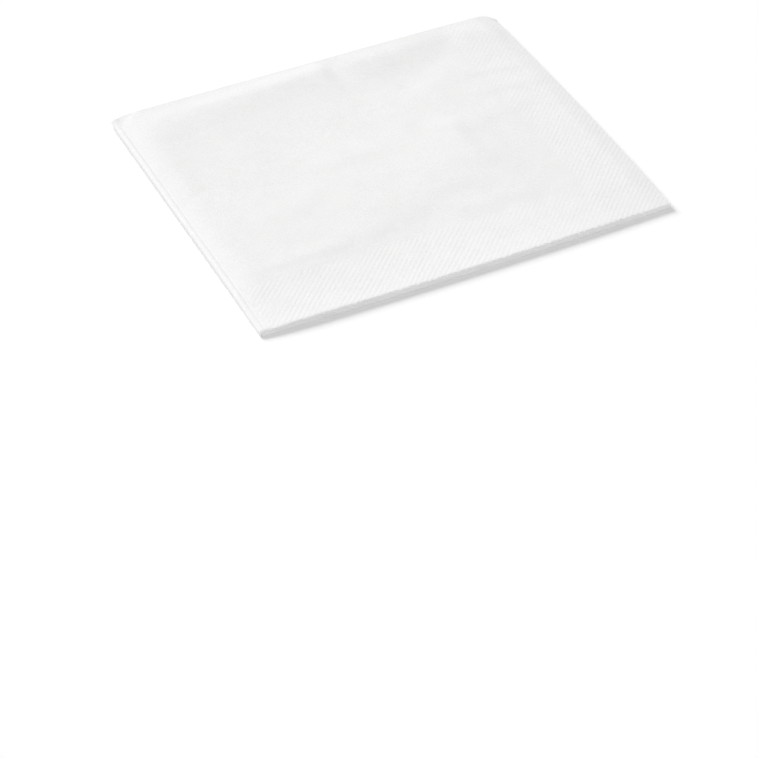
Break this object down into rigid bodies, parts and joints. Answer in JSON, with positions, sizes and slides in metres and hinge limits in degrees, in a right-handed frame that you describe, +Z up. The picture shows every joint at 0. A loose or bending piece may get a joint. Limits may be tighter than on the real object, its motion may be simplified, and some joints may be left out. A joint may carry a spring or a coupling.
{
  "type": "paper napkin",
  "caption": "Plain white paper napkin, one tissue sheet folded in quarters, lying flat, with a band of fine diagonal embossed lines along its cut edges.",
  "frame": {"origin": "on the surface that the napkin lies on, under the middle of its bounding box", "axes": "+Z up out of the top face, +X along the long side from the spine fold to the cut edges, +Y from the front cut edges to the first fold"},
  "size_m": [0.1652, 0.1402, 0.0028],
  "materials": {
    "tissue": "soft matt white tissue"
  },
  "bodies": {
    "root": {"napkin": "tissue"}
  },
  "joints": []
}
